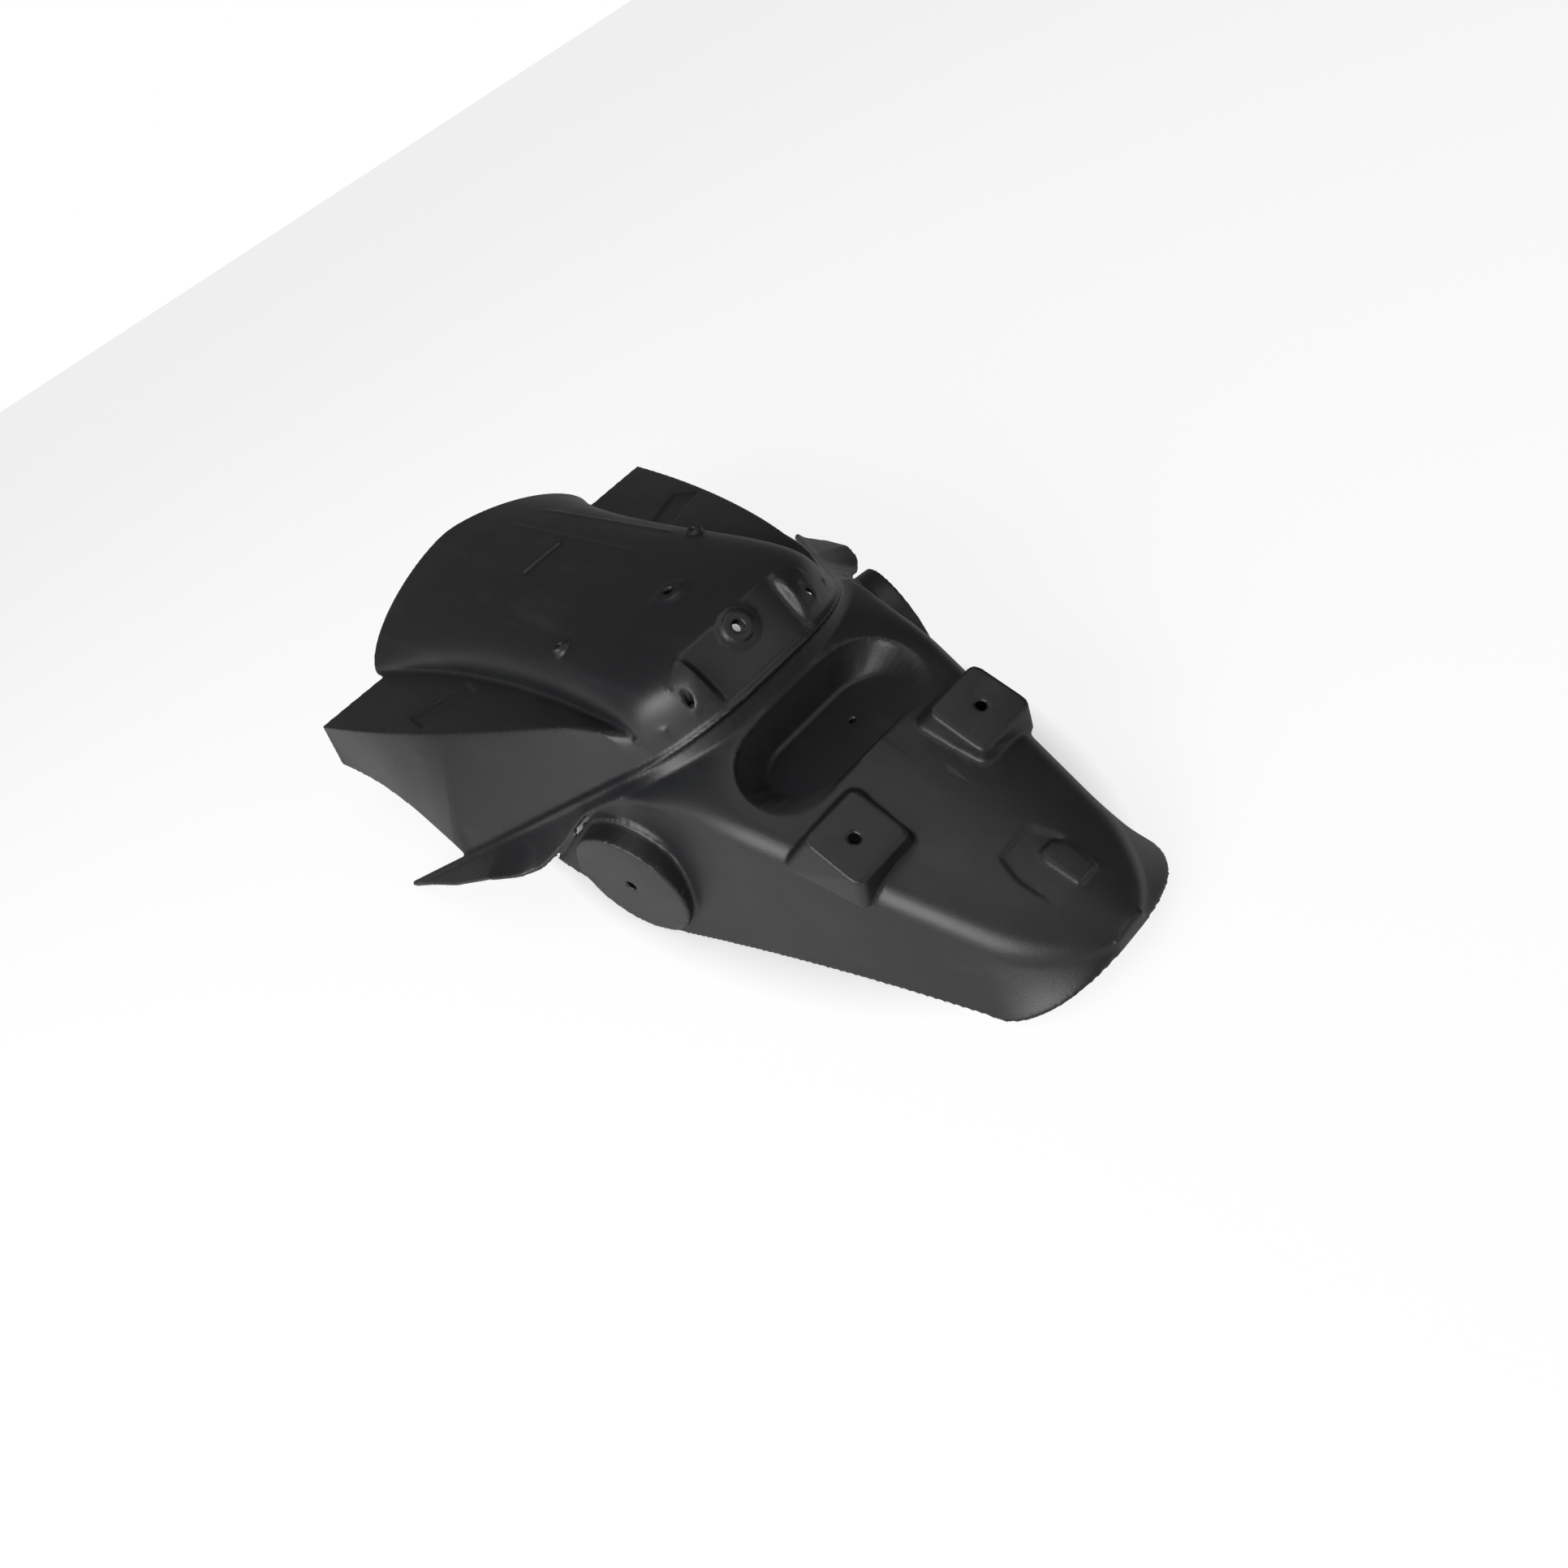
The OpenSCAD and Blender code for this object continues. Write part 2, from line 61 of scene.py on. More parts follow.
class FenderShape(bpy.types.PropertyGroup):
    skin: bpy.props.FloatProperty(
        name="Skin", description="Thickness of the moulded skin, in mm", default=3.0, min=2.6, max=3.4)
    grain_cell: bpy.props.FloatProperty(
        name="Surface cell", description="Cell size of the joined surface, in mm",
        default=1.25, min=1.0, max=4.0)
    rounding: bpy.props.IntProperty(
        name="Edge rounding", description="Smoothing passes over the moulded edges", default=2, min=0, max=20)
    faces: bpy.props.IntProperty(
        name="Faces", description="Most triangles of the finished skin",
        default=185000, min=20000, max=195000)


class FenderLook(bpy.types.PropertyGroup):
    colour: bpy.props.FloatVectorProperty(
        name="Plastic", description="Colour of the moulded plastic",
        subtype="COLOR", size=3, default=(0.006, 0.0065, 0.0075), min=0, max=1)
    scuff: bpy.props.FloatVectorProperty(
        name="Scuffs", description="Colour of rubbed places",
        subtype="COLOR", size=3, default=(0.03, 0.031, 0.033), min=0, max=1)
    roughness: bpy.props.FloatProperty(
        name="Roughness", description="Roughness of the moulded surface",
        subtype="FACTOR", default=0.42, min=0, max=1)
    floor: bpy.props.FloatVectorProperty(
        name="Floor", description="Colour of the floor",
        subtype="COLOR", size=3, default=(0.9, 0.9, 0.9), min=0, max=1)


# ---- shape of the moulding, in mm ---------------------------------------------------------------

BODY_LEN, SKIN = 626.0, 3.0
TRAY_Z, TRAY_FALL = 157.5, 0.046
FOOT_FRONT, FOOT_REAR, FOOT_FRONT_Z, FOOT_REAR_Z = 116.0, 72.0, 87.0, 125.0
FOLD_FRONT, FOLD_REAR, FOLD_FRONT_Z, FOLD_REAR_Z = 175.5, 88.0, 81.5, 132.0
WALL_HALF, WALL_LOW_Z, WALL_FLARE = 172.0, 38.0, 13.0
LIP_Z, LIP_BACK, LIP_FACE, LIP_SIDE = 124.0, 118.0, 14.5, 88.0
TIP_HALF, TIP_FWD, TIP_Z, FLANGE_W = 209.0, 169.0, 3.4, 25.0
TAIL_FRONT_Z, TAIL_FALL, TAIL_FRONT_HALF, TAIL_END_HALF = 107.5, 0.378, 105.0, 54.0
TAIL_LOW_FRONT, TAIL_LOW_END, END_LEN, END_RISE, CROWN, SHOULDER_R = 120.0, 62.0, 44.0, 19.0, 7.0, 16.0
DISC_R, DISC_X, DISC_BACK, DISC_Z, DISC_BORE = 39.5, 122.0, 60.0, 41.0, 6.5
PAD_X, PAD_BACK, PAD_W, PAD_L, PAD_BORE, PAD_H, PAD_TILT = 48.0, 205.5, 38.0, 33.0, 5.5, 15.0, 27.0
BOLT_BACK, BOLT2_BACK, COLLAR_R, BOLT_BORE, BOLT2_TILT, PANEL_LEN = 43.5, 101.0, 8.5, 6.5, 54.0, 22.0
RECESS_W, RECESS_L, RECESS_Z, RECESS_HOLE_X = 123.0, 53.0, 85.0, 11.0
BEAD_W, BEAD_H, BEAD_REAR, BEAD_FRONT = 4.0, 1.2, 22.0, 232.0
POST_R, POST_H, POST_BORE, POST_X, POST_Y = 5.0, 4.0, 3.6, 55.5, 9.0
DISC_YAW, DISC_PITCH, DISC_LEN, NOTCH, LEAN = 16.6, 2.7, 30.0, 20.0, 14.0
FRONT_Y, END_Y = BODY_LEN / 2, -BODY_LEN / 2
ROUND_Y = END_Y + END_LEN
SIDE_Y, SIDE_Z = -60.5, 99.0
RUN_K = (TIP_FWD - SIDE_Y) / (TIP_HALF - LIP_SIDE)
RUN_Z = (TIP_Z - SIDE_Z) / (TIP_HALF - LIP_SIDE)
TA = [0, 9, 17.15, 20.6, 33.75, 45, 56.25, 67.5, 78.75, 90]
TN, WN, LN = len(TA) - 1, 3, 3
HN = TN + WN + LN
CN, SN, DN = 5, 4, 3
GN = CN + SN + DN
EN, RN = 9, 11
FINE, ROWS = 8, 80
# one past the last entry of FV: the last rows of the front sheet share its front edge
FRONT_SPAN = 20
BUMP = [(0, 0.42), (0.1, 0.3), (0.2, 0.42), (0.33, 0.88), (0.41, 1.08), (0.5, 1.05), (0.72, 0.7),
        (0.88, 0.3), (1, 0.06)]
DIP = [(0, -4), (0.15, -5), (0.25, -15), (0.34, -19), (0.44, -12), (0.52, -7), (0.72, -5), (1, -0.4)]


def mix(a, b, t):
    return a + (b - a) * t


def clamp(v, a, b):
    return min(max(v, a), b)


def dsin(a):
    return math.sin(math.radians(a))


def dcos(a):
    return math.cos(math.radians(a))


def table(s, rows):
    for (a, p), (b, q) in zip(rows, rows[1:]):
        if s <= b:
            return mix(p, q, clamp((s - a) / (b - a), 0, 1))
    return rows[-1][1]


def crest_y(x):
    if x < LIP_SIDE:
        return -LIP_BACK + (SIDE_Y + LIP_BACK) * (x / LIP_SIDE) ** (RUN_K * LIP_SIDE / (SIDE_Y + LIP_BACK))
    return SIDE_Y + RUN_K * (x - LIP_SIDE)


def crest_z(x):
    if x < LIP_SIDE:
        return LIP_Z + (SIDE_Z - LIP_Z) * (x / LIP_SIDE) ** (RUN_Z * LIP_SIDE / (SIDE_Z - LIP_Z))
    return SIDE_Z + RUN_Z * (x - LIP_SIDE)


def crest_x(y):
    if y >= SIDE_Y:
        return LIP_SIDE + (y - SIDE_Y) / RUN_K
    run = SIDE_Y + LIP_BACK
    return LIP_SIDE * clamp((y + LIP_BACK) / run, 0, 1) ** (run / (RUN_K * LIP_SIDE))


def fwd(y):
    return clamp((y + 33) / (FRONT_Y + 33), -0.3, 1)


def fwd0(y):
    return clamp(fwd(y), 0, 1)


def tray_top(y):
    return TRAY_Z - TRAY_FALL * (y + BOLT_BACK)


def foot_x(y):
    return FOOT_REAR + (FOOT_FRONT - FOOT_REAR) * fwd0(y) ** 2.4


def foot_z(y):
    return mix(FOOT_REAR_Z, FOOT_FRONT_Z, fwd(y))


def fold_x(y):
    return mix(FOLD_REAR, FOLD_FRONT, fwd(y)) + 24 * fwd0(y) * (1 - fwd0(y))


def fold_z(y):
    return mix(FOLD_REAR_Z, FOLD_FRONT_Z, fwd(y)) - 5 * fwd0(y) * (1 - fwd0(y))


def tray_n(y):
    return mix(2.9, 1.55, fwd0(y) ** 1.5)


WALL_Y = SIDE_Y + RUN_K * (WALL_HALF - LIP_SIDE)


def low_x(y):
    if y < WALL_Y:
        return crest_x(y)
    return WALL_HALF + WALL_FLARE * ((y - WALL_Y) / (FRONT_Y - WALL_Y)) ** 4


def low_z(y):
    if y < WALL_Y:
        return crest_z(crest_x(y)) - 1
    rise = 8 * ((y - WALL_Y) / (FRONT_Y - WALL_Y)) ** 6
    return mix(crest_z(WALL_HALF), WALL_LOW_Z, clamp((y - WALL_Y) / 12, 0, 1)) + rise


def turn_at(i):
    return table(i, list(enumerate(TA)))


def col_x0(i):
    if i <= TN:
        return FOOT_REAR * dsin(turn_at(i)) ** (2 / 2.9)
    if i <= TN + WN:
        return mix(FOOT_REAR, LIP_SIDE - 6, (i - TN) / WN)
    return mix(LIP_SIDE - 6, LIP_SIDE, (i - TN - WN) / LN)


def front_xz(i, y):
    if i <= TN:
        n = tray_n(y)
        return (foot_x(y) * dsin(turn_at(i)) ** (2 / n),
                foot_z(y) + (tray_top(y) - foot_z(y)) * max(dcos(turn_at(i)), 0) ** (2 / n))
    if i <= TN + WN:
        t = (i - TN) / WN
        return mix(foot_x(y), fold_x(y), t), mix(foot_z(y), fold_z(y), t)
    t = (i - TN - WN) / LN
    return mix(fold_x(y), low_x(y), t), mix(fold_z(y), low_z(y), t)


def drop(d, x):
    """Share of the lip ahead of its crest: a flat panel near the centre, a hollow curve beside it."""
    far, end = 0.35 * math.exp(-d / 25), 0.35 * math.exp(-PANEL_LEN / 25)
    flat = mix(1, end, d / PANEL_LEN) if d < PANEL_LEN else far
    return mix(0.65 * math.exp(-d / 4.5) + far, flat, clamp((35 - x) / 4, 0, 1))


FV = [0, 2, 5, 9, 14, 22, 34, 50] + [50 + k * (FRONT_Y + LIP_BACK - 50) / 12 for k in range(1, 13)]


def col_front(i):
    return FRONT_Y if i < TN else FRONT_Y - NOTCH * clamp((TN + WN - i) / WN, 0, 1)


def front_pt(i, k):
    a = abs(i)
    x0 = col_x0(a)
    r = crest_y(x0)
    y = r + table(k, list(enumerate(FV))) * (col_front(a) - r) / (FRONT_Y + LIP_BACK)
    px, pz = front_xz(a, y)
    h = drop(y - r, x0)
    x, z = mix(px, x0, h), mix(pz, crest_z(x0) - 1, h)
    return math.copysign(x, i), y, z


def tail_x(y):
    return mix(TAIL_FRONT_HALF, TAIL_END_HALF, (y + 60) / (ROUND_Y + 60))


def tail_lx(y):
    t = clamp((y + 68) / (ROUND_Y + 68), 0, 1)
    return mix(TAIL_LOW_FRONT, TAIL_LOW_END, t) - 10 * t * (1 - t)


def tail_z(y):
    return TAIL_FRONT_Z + TAIL_FALL * (y + LIP_BACK)


def crown_at(y):
    return CROWN + 0.0035 * max(0, y + LIP_BACK + 32) ** 2


def tail_xz(i, y, g, h, zl):
    s, lx, zc, r = tail_x(y), tail_lx(y), tail_z(y), SHOULDER_R
    cx = s - r
    w = crown_at(y)
    a0 = math.degrees(math.atan(2 * w / cx))
    if i <= CN:
        p = (cx * i / CN, zc - w * (i / CN) ** 2)
    elif i <= CN + SN:
        a = mix(a0, 90 - LEAN, (i - CN) / SN)
        p = (cx + r * (dsin(a) - dsin(a0)), zc - w - r * (dcos(a0) - dcos(a)))
    else:
        a, t = 90 - LEAN, (i - CN - SN) / DN
        p = (mix(cx + r * (dsin(a) - dsin(a0)), lx, t), mix(zc - w - r * (dcos(a0) - dcos(a)), 0, t))
    return p[0] * g, zl + p[1] * h * (1 - zl / zc)


def tail_surf(x, y):
    return tail_z(y) - crown_at(y) * (x / (tail_x(y) - SHOULDER_R)) ** 2


def edge_pt(x):
    if x < LIP_SIDE:
        t = (x / LIP_SIDE) ** 2
        w = 0.4 * FLANGE_W * t
        y = crest_y(x) + mix(-1.5, -w * 0.467, t)
        return Vector((x + w * 0.884, y, crest_z(x) + mix(-LIP_FACE, -4, t)))
    s = (x - LIP_SIDE) / (TIP_HALF - LIP_SIDE)
    w = FLANGE_W * table(s, BUMP)
    return Vector((x + w * 0.884, crest_y(x) - w * 0.467, crest_z(x) + table(s, DIP)))


def under_lip(i):
    x = min(tail_x(-70) * i / (CN + SN), LIP_SIDE + 10)
    e, c = edge_pt(x), Vector((x, crest_y(x), crest_z(x)))
    return e.lerp(c, 0.08) + Vector((-1.2 * x / LIP_SIDE, 1, -0.3))


def tail_goal(i):
    if i <= CN + SN:
        return under_lip(i)
    e = edge_pt(LIP_SIDE + 0.3 * (TIP_HALF - LIP_SIDE))
    return under_lip(CN + SN).lerp(e + Vector((-4, 0, -3)), (i - CN - SN) / DN)


def tail_pt(i, k):
    a = abs(i)
    if k < EN:
        t = 80 - 10 * (k - 1)
        y = ROUND_Y - END_LEN * dsin(t) / dsin(80)
        q = tail_xz(a, y, dcos(t), dcos(t) ** 0.35, END_RISE * dsin(t) ** 2)
        return math.copysign(q[0], i), y, q[1]
    g, u = tail_goal(a), (k - EN) / RN
    y = mix(ROUND_Y, g.y, u)
    q, p = tail_xz(a, y, 1, 1, 0), tail_xz(a, g.y, 1, 1, 0)
    v = clamp((u - 0.72) / 0.28, 0, 1)
    w = v * v * (3 - 2 * v)
    return math.copysign(q[0] + (g.x - p[0]) * w, i), y, q[1] + (g.z - p[1]) * w


def band_pt(s, t):
    x = LIP_SIDE * abs(s) if abs(s) <= 1 else mix(LIP_SIDE, TIP_HALF, abs(s) - 1)
    c = Vector((x, crest_y(x), crest_z(x)))
    e = edge_pt(x)
    q = min(1, x / LIP_SIDE)
    if t <= 1:
        p = Vector((x - 2.6 * q, c.y + 2.5 - 0.9 * q, c.z - 0.5)).lerp(c, t)
    else:
        p = c.lerp(e, (t - 1) / 2)
    return math.copysign(p.x, s), p.y, p.z


def tray_surf(x, y):
    x = abs(x)
    fx, n = foot_x(y), tray_n(y)
    z = foot_z(y) + (tray_top(y) - foot_z(y)) * (1 - (min(x, fx) / fx) ** n) ** (1 / n)
    return mix(z, crest_z(x) - 1, drop(y - crest_y(x), x))


def pad_top(y, h):
    return tail_surf(PAD_X, -PAD_BACK) + PAD_H + h + math.tan(math.radians(PAD_TILT)) * (y + PAD_BACK)


def on_tail(ring, h):
    return [(x, y, tail_surf(min(abs(x), tail_x(y) - SHOULDER_R), y) + h) for x, y in ring]


def tail_ring(ring, h):
    return [(x, y, tail_surf(x, y) + h) for x, y in ring]


def corner_ring(c, r):
    return [(x + r * dcos(90 * i + 22.5 * a), y + r * dsin(90 * i + 22.5 * a))
            for i, (x, y) in enumerate(c) for a in range(5)]


def stadium(half, r, y):
    return [(half + r * dcos(a), y + r * dsin(a)) for a in range(-90, 91, 10)] + \
           [(r * dcos(a) - half, y + r * dsin(a)) for a in range(90, 271, 10)]


def wing_pt(x, y):
    return x, y, mix(foot_z(y), fold_z(y), (x - foot_x(y)) / (fold_x(y) - foot_x(y)))


MARK = [(14.5, -294), (16.5, -268), (11, -255), (-11, -255), (-15.5, -268), (-14.5, -294)]
MARK_IN = [(14, -289), (15, -272), (11, -268), (3, -268), (1, -272), (1, -289)]


# ---- mesh helpers ---------------------------------------------------------------------------------


def make_object(name, bm):
    mesh = bpy.data.meshes.new(name)
    bm.to_mesh(mesh)
    bm.free()
    obj = bpy.data.objects.new(name, mesh)
    bpy.context.scene.collection.objects.link(obj)
    return obj


def apply_modifiers(obj):
    graph = bpy.context.evaluated_depsgraph_get()
    mesh = bpy.data.meshes.new_from_object(obj.evaluated_get(graph), depsgraph=graph)
    old, obj.data = obj.data, mesh
    obj.modifiers.clear()
    bpy.data.meshes.remove(old)
    return obj


def sheet(name, cols, rows, place, up, down):
    """Grid placed by a function of u and v in 0..1, thickened up and down along its normals."""
    bm = bmesh.new()
    bmesh.ops.create_grid(bm, x_segments=cols, y_segments=rows, size=0.5)
    for v in bm.verts:
        v.co = Vector(place(v.co.x + 0.5, v.co.y + 0.5)) * MM
    obj = make_object(name, bm)
    wall = obj.modifiers.new("wall", "SOLIDIFY")
    wall.thickness = (up + down) * MM
    wall.offset = (up - down) / (up + down)
    return apply_modifiers(obj)


def loft(name, rings):
    """Closed solid through rings of points, bottom ring first."""
    bm = bmesh.new()
    loops = []
    for ring in rings:
        verts = [bm.verts.new(Vector(p) * MM) for p in ring]
        loops.append([bm.edges.new(pair) for pair in zip(verts, verts[1:] + verts[:1])])
    for a, b in zip(loops, loops[1:]):
        bmesh.ops.bridge_loops(bm, edges=a + b)
    for loop in (loops[0], loops[-1]):
        bmesh.ops.edgeloop_fill(bm, edges=loop)
    bmesh.ops.recalc_face_normals(bm, faces=bm.faces)
    bmesh.ops.triangulate(bm, faces=[f for f in bm.faces if len(f.verts) > 4])
    return make_object(name, bm)


def rod(name, radius, z0, z1, place, segments=64):
    """Cylinder along its own axis from z0 to z1, placed by a matrix in mm."""
    bm = bmesh.new()
    bmesh.ops.create_cone(bm, cap_ends=True, segments=segments, radius1=radius, radius2=radius, depth=z1 - z0,
                          matrix=place @ Matrix.Translation((0, 0, (z0 + z1) / 2)))
    bmesh.ops.scale(bm, verts=bm.verts, vec=(MM, MM, MM))
    return make_object(name, bm)


def flip(ring, side):
    return ring if side > 0 else [(-x, y, *z) for x, y, *z in reversed(ring)]


def carve(obj, tools, how="DIFFERENCE"):
    for tool in tools:
        cut = obj.modifiers.new("cut", "BOOLEAN")
        cut.operation, cut.object, cut.solver = how, tool, "EXACT"
    return apply_modifiers(obj)


def discard(objects):
    for obj in objects:
        mesh = obj.data
        bpy.data.objects.remove(obj)
        bpy.data.meshes.remove(mesh)


def at(x, y, z, *turns):
    m = Matrix.Translation((x, y, z))
    for axis, angle in turns:
        m = m @ Matrix.Rotation(math.radians(angle), 4, axis)
    return m


def disc_place(side):
    yaw = -DISC_YAW if side > 0 else 180 + DISC_YAW
    return at(side * DISC_X, -DISC_BACK, DISC_Z, ("Z", yaw), ("Y", 90 - DISC_PITCH))


# ---- the parts of the moulding --------------------------------------------------------------------


def tail_patch(name, y0, y1, cols, up, down):
    def place(u, v):
        i, y = (2 * u - 1) * cols, mix(y0, y1, v)
        q = tail_xz(abs(i), y, 1, 1, 0)
        return math.copysign(q[0], i), y, q[1]
    return sheet(name, FINE * cols, 16, place, up, down)


def main_sheets(skin):
    front = sheet("front", FINE * HN, ROWS, lambda u, v: front_pt((2 * u - 1) * HN, v * FRONT_SPAN), 0, skin)
    tail = sheet("tail", FINE * GN, ROWS, lambda u, v: tail_pt((2 * u - 1) * GN, mix(1, EN + RN, v)), 0, skin)
    band = sheet("band", 160, 12, lambda u, v: band_pt(4 * u - 2, 3 * (1 - v)), 0, skin)
    return front, tail, band


def beads():
    out = []
    for x in (-51, -24, 24, 51):
        def place(u, v, x=x):
            y, w = mix(BEAD_REAR, BEAD_FRONT, v), 2 * u - 1
            ends = min(1, 12 * v, 12 * (1 - v)) ** 0.5
            rise = BEAD_H * math.cos(w * math.pi / 2) ** 0.7 * ends if abs(w) < 1 else 0
            px = x + w * BEAD_W / 2
            return px, y, tray_surf(px, y) + rise - 0.3
        out.append(sheet("bead", 8, 60, place, 0, 1.6))
    return out


def lip_bead():
    """Raised half-round line along the crest of the lip and out to both flange tips."""
    def place(u, v):
        p, q = Vector(band_pt(4 * u - 2, 1)), Vector(band_pt(4 * u - 1.98, 1))
        along, w = (q - p).normalized(), 2 * v - 1
        side = along.cross(Vector((0, 0, 1))).normalized()
        return p + side * w * 1.9 + side.cross(along) * (1.2 * math.cos(w * math.pi / 2) - 0.1)
    return sheet("lip_bead", 240, 8, place, 0.7, 0.7)


def recess(grow):
    y = -LIP_BACK - 2 - RECESS_L / 2
    floor = stadium(RECESS_W * 0.175, RECESS_L * 0.465 + grow, y + RECESS_L * 0.02)
    rim = stadium((RECESS_W - RECESS_L) / 2, RECESS_L / 2 + grow, y)
    return loft("recess", [[(a, b, RECESS_Z - grow) for a, b in floor], on_tail(rim, 0), on_tail(rim, 14)])


def pad(side, grow):
    r = 5 + grow
    x0, x1 = PAD_X - 1.5 - PAD_W / 2 + 5, PAD_X - 1.5 + PAD_W / 2 - 5
    y0, y1 = -PAD_BACK - PAD_L / 2 + 5, -PAD_BACK + PAD_L / 2 - 5
    foot = [(x1 + 9, y1 + 19), (x0 - 7, y1 + 17), (x0 - 3, y0 + 1), (x1 + 2, y0 + 5)]
    low = on_tail(corner_ring(foot, r), -6.5 if grow < 0 else -9)
    top = corner_ring([(x1, y1), (x0, y1), (x0, y0), (x1, y0)], r)
    shoulder = [(x, y, pad_top(y, grow - 1)) for x, y in top]
    face = [(mix(x, PAD_X, 0.03), mix(y, -PAD_BACK, 0.03), pad_top(y, grow)) for x, y in top]
    return loft("pad", [flip(ring, side) for ring in (low, shoulder, face)])


def block(side, corners, low, high):
    return loft("block", [flip([(x, y, z + h) for x, y, z in corners], side) for h in (low, high)])


def raised_parts():
    """Low pad, block by the tail end, bolt collars, wedges, clips, screw posts and round bosses."""
    low_pad = [(x, y, tray_surf(x, y)) for x, y in ((17, 141), (-17, 141), (-17, 125), (17, 125))]
    end = ((-10, 0.1), (10, 0.1), (10, 3.1), (-10, 3.1))
    out = [
        block(1, low_pad, -2, 2.2),
        loft("mark_block", [tail_ring(MARK_IN, -3), tail_ring(MARK_IN, 0.6)]),
        loft("end_block", [[(x, END_Y + y, tail_pt(i, 1)[2]) for x, y in end] for i in (GN, 0)]),
    ]
    for y, h, tilt in ((BOLT_BACK, 2.5, 0), (BOLT2_BACK, 3, BOLT2_TILT)):
        place = at(0, -y, tray_surf(0, -y), ("X", tilt))
        out.append(rod("collar", COLLAR_R, -SKIN - 4, h, place))
        out.append(rod("collar_foot", COLLAR_R + 3.5, -SKIN, 0.9, place))
    for side in (-1, 1):
        z = tray_surf(POST_X, POST_Y)
        out += [
            block(side, [(50.5, -97, 144.5), (36, -93, 152.5), (36.5, -112, 129.5), (47.5, -107, 129)],
                  -6, 1.6),
            block(side, [(75, -76, 120), (69, -67, 121), (56, -88, 127), (62, -96, 125)], -5, 3),
            rod("post", POST_R, -SKIN - 2, POST_H, at(side * POST_X, POST_Y, z)),
            rod("disc", DISC_R, -DISC_LEN, 0, disc_place(side), 128),
            rod("disc_foot", DISC_R + 3, -DISC_LEN, -14, disc_place(side), 128),
        ]
    return out


def hollows():
    """Everything cut away: recesses, strap channels, hollow bosses and pads, and all the bores."""
    out = [recess(0)]
    outline = loft("mark", [tail_ring(MARK, -8), tail_ring(MARK, 8)])
    inner = loft("mark_in", [tail_ring(MARK_IN, -9), tail_ring(MARK_IN, 9)])
    mark = tail_patch("mark_layer", -298, -250, CN, 6, 1.2)
    carve(mark, [outline], "INTERSECT")
    out.append(carve(mark, [inner]))
    discard([outline, inner])
    for side in (-1, 1):
        strap = [wing_pt(134, 142), wing_pt(132, 178), wing_pt(88, 153.5), wing_pt(92, 125)]
        out += [
            rod("cup", DISC_R - SKIN, -DISC_LEN - 30, -SKIN, disc_place(side), 128),
            pad(side, -SKIN),
            rod("wedge_hole", 2, 0, 40, at(side * 45, -104, 120), 32),
            block(side, strap, -1.6, 5),
            block(side, [(69, -76, 120), (67, -74, 121), (61, -85, 124), (63, -88, 124)], 1, 8),
            rod("signal_bore", DISC_BORE / 2, -SKIN - 1, 1, disc_place(side), 48),
            rod("plate_bore", PAD_BORE / 2, 0, 80, at(side * PAD_X, -PAD_BACK, 40), 48),
            rod("post_bore", POST_BORE / 2, -20, 20,
                at(side * POST_X, POST_Y, tray_surf(POST_X, POST_Y)), 32),
        ]
    out += [
        rod("bolt_bore", BOLT_BORE / 2, -20, 20, at(0, -BOLT_BACK, TRAY_Z), 48),
        rod("bolt2_bore", BOLT_BORE / 2, -16, 14,
            at(0, -BOLT2_BACK, tray_surf(0, -BOLT2_BACK), ("X", BOLT2_TILT)), 48),
        rod("drain", 2.2, -10, 10, at(RECESS_HOLE_X, -LIP_BACK - 28, RECESS_Z), 32),
    ]
    return out


def box_of(obj):
    cos = [v.co for v in obj.data.vertices]
    return [[f(c[i] for c in cos) for i in range(3)] for f in (min, max)]


def meet(a, b):
    return all(a[0][i] < b[1][i] and b[0][i] < a[1][i] for i in range(3))


def moulded_skin(props):
    """All parts cut, joined into one closed surface and smoothed at their edges."""
    cell = props.grain_cell
    parts = list(main_sheets(props.skin)) + beads() + [lip_bead()] + raised_parts()
    shell, depth = recess(SKIN), tail_patch("depth", -190, -112, CN + 1, -0.5, 36)
    parts.append(carve(shell, [depth], "INTERSECT"))
    over = tail_patch("over", -236, -158, CN + SN, 28, 2.4)
    parts += [carve(pad(side, 0), [over], "INTERSECT") for side in (-1, 1)]
    discard([depth, over])
    tools = hollows()
    boxes = [box_of(t) for t in tools]
    for part in parts:
        own = box_of(part)
        near = [t for t, b in zip(tools, boxes) if meet(own, b)]
        if near:
            carve(part, near)
    discard(tools)
    bm = bmesh.new()
    for part in parts:
        bm.from_mesh(part.data)
    discard(parts)
    skin = make_object("fender_skin", bm)
    join = skin.modifiers.new("join", "REMESH")
    join.mode, join.voxel_size = "VOXEL", cell * MM
    soft = skin.modifiers.new("rounding", "SMOOTH")
    soft.factor, soft.iterations = 0.5, props.rounding
    apply_modifiers(skin)
    thin = skin.modifiers.new("thin", "DECIMATE")
    thin.ratio = min(1, props.faces / (2 * len(skin.data.polygons)))
    apply_modifiers(skin)
    low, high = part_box("rear_fender")
    for v in skin.data.vertices:
        v.co = [clamp(v.co[i], low[i], high[i]) for i in range(3)]
    skin.data.shade_smooth()
    return skin


# ---- materials ------------------------------------------------------------------------------------


def add(tree, kind, **values):
    node = tree.nodes.new(kind)
    for key, value in values.items():
        if key in node.bl_rna.properties:
            setattr(node, key, value)
        else:
            node.inputs[key.replace("_", " ")].default_value = value
    return node


def new_group(name, inputs, outputs):
    tree = bpy.data.node_groups.new(name, "ShaderNodeTree")
    for label, kind, value in inputs:
        socket = tree.interface.new_socket(label, in_out="INPUT", socket_type=kind)
        if value is not None:
            socket.default_value = value
    for label, kind in outputs:
        tree.interface.new_socket(label, in_out="OUTPUT", socket_type=kind)
    return tree, tree.nodes.new("NodeGroupInput"), tree.nodes.new("NodeGroupOutput")


